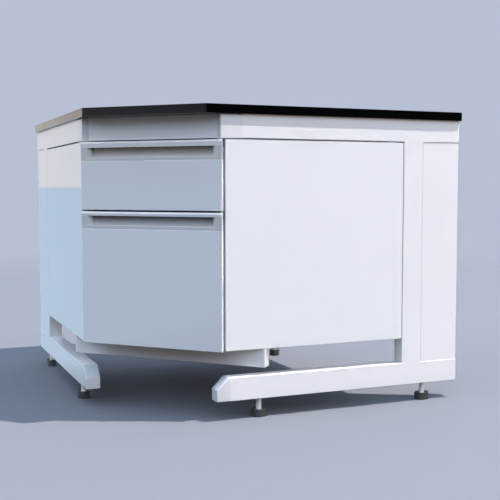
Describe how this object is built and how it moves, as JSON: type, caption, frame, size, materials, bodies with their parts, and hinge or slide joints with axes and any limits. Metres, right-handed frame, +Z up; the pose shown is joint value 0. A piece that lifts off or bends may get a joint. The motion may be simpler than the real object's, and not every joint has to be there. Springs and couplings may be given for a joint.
{
  "type": "corner laboratory bench with suspended drawer cabinet",
  "caption": "Corner laboratory bench: black five-sided worktop on white C-shaped side frames and a rear leg, with a hanging drawer cabinet facing the corner's open side.",
  "frame": {"origin": "on the floor, under the middle of the worktop's bounding box", "axes": "+X to the right and +Z up, seen by someone in front of the drawers; the drawers face -Y and the wall corner lies towards +Y"},
  "size_m": [1.4208, 1.2429, 0.8],
  "materials": {
    "worktop": "black solid laboratory top, fine satin",
    "frame_paint": "white powder coat, satin gloss",
    "cap_plastic": "white moulded plastic",
    "lacquer": "board with a white high-gloss face",
    "board": "board with a white melamine face",
    "zinc": "zinc-plated steel sheet",
    "foot": "black moulded pad on a steel stem"
  },
  "bodies": {
    "bench": {"worktop": "worktop", "right_foot_beam": "frame_paint", "left_foot_beam": "frame_paint", "right_nose_cap": "cap_plastic", "left_nose_cap": "cap_plastic", "right_post": "frame_paint", "left_post": "frame_paint", "right_top_beam": "frame_paint", "left_top_beam": "frame_paint", "right_top_corner": "cap_plastic", "left_top_corner": "cap_plastic", "front_apron": "frame_paint", "right_service_panel": "frame_paint", "left_service_panel": "frame_paint", "right_rear_rail": "frame_paint", "left_rear_rail": "frame_paint", "rear_leg": "frame_paint", "right_carcass_side": "lacquer", "left_carcass_side": "lacquer", "right_carcass_rear": "board", "left_carcass_rear": "board", "carcass_back": "board", "carcass_bottom": "board", "carcass_top": "board", "right_partition": "board", "left_partition": "board", "right_hanger_angle": "zinc", "left_hanger_angle": "zinc", "base_rail": "frame_paint", "right_rail_plug": "cap_plastic", "left_rail_plug": "cap_plastic", "upper_right_runner_fixed": "zinc", "upper_left_runner_fixed": "zinc", "lower_right_runner_fixed": "zinc", "lower_left_runner_fixed": "zinc"},
    "upper_drawer": {"upper_drawer_front": "lacquer", "upper_drawer_grip": "lacquer", "upper_drawer_right_side": "board", "upper_drawer_left_side": "board", "upper_drawer_back": "board", "upper_drawer_bottom": "board", "upper_right_runner_drawer": "zinc", "upper_left_runner_drawer": "zinc"},
    "lower_drawer": {"lower_drawer_front": "lacquer", "lower_drawer_grip": "lacquer", "lower_drawer_right_side": "board", "lower_drawer_left_side": "board", "lower_drawer_back": "board", "lower_drawer_bottom": "board", "lower_right_runner_drawer": "zinc", "lower_left_runner_drawer": "zinc"},
    "upper_right_slide": {"upper_right_runner_middle": "zinc"},
    "upper_left_slide": {"upper_left_runner_middle": "zinc"},
    "lower_right_slide": {"lower_right_runner_middle": "zinc"},
    "lower_left_slide": {"lower_left_runner_middle": "zinc"},
    "right_front_leveller": {"right_front_foot": "foot"},
    "right_rear_leveller": {"right_rear_foot": "foot"},
    "left_front_leveller": {"left_front_foot": "foot"},
    "left_rear_leveller": {"left_rear_foot": "foot"},
    "back_leveller": {"back_foot": "foot"}
  },
  "joints": [
    {"name": "upper_drawer_pull", "type": "slide", "parent": "bench", "child": "upper_drawer", "axis": [0, -1, 0], "range_m": [0, 0.42]},
    {"name": "lower_drawer_pull", "type": "slide", "parent": "bench", "child": "lower_drawer", "axis": [0, -1, 0], "range_m": [0, 0.42]},
    {"name": "upper_right_runner_slide", "type": "slide", "parent": "bench", "child": "upper_right_slide", "axis": [0, -1, 0], "range_m": [0, 0.21]},
    {"name": "upper_left_runner_slide", "type": "slide", "parent": "bench", "child": "upper_left_slide", "axis": [0, -1, 0], "range_m": [0, 0.21]},
    {"name": "lower_right_runner_slide", "type": "slide", "parent": "bench", "child": "lower_right_slide", "axis": [0, -1, 0], "range_m": [0, 0.21]},
    {"name": "lower_left_runner_slide", "type": "slide", "parent": "bench", "child": "lower_left_slide", "axis": [0, -1, 0], "range_m": [0, 0.21]},
    {"name": "right_front_foot_screw", "type": "slide", "parent": "bench", "child": "right_front_leveller", "axis": [0, 0, -1], "range_m": [0, 0.02]},
    {"name": "right_rear_foot_screw", "type": "slide", "parent": "bench", "child": "right_rear_leveller", "axis": [0, 0, -1], "range_m": [0, 0.02]},
    {"name": "left_front_foot_screw", "type": "slide", "parent": "bench", "child": "left_front_leveller", "axis": [0, 0, -1], "range_m": [0, 0.02]},
    {"name": "left_rear_foot_screw", "type": "slide", "parent": "bench", "child": "left_rear_leveller", "axis": [0, 0, -1], "range_m": [0, 0.02]},
    {"name": "back_foot_screw", "type": "slide", "parent": "bench", "child": "back_leveller", "axis": [0, 0, -1], "range_m": [0, 0.02]}
  ],
  "couplings": [
    {"joint": "upper_right_runner_slide", "follows": "upper_drawer_pull", "ratio": 0.5},
    {"joint": "upper_left_runner_slide", "follows": "upper_drawer_pull", "ratio": 0.5},
    {"joint": "lower_right_runner_slide", "follows": "lower_drawer_pull", "ratio": 0.5},
    {"joint": "lower_left_runner_slide", "follows": "lower_drawer_pull", "ratio": 0.5}
  ]
}
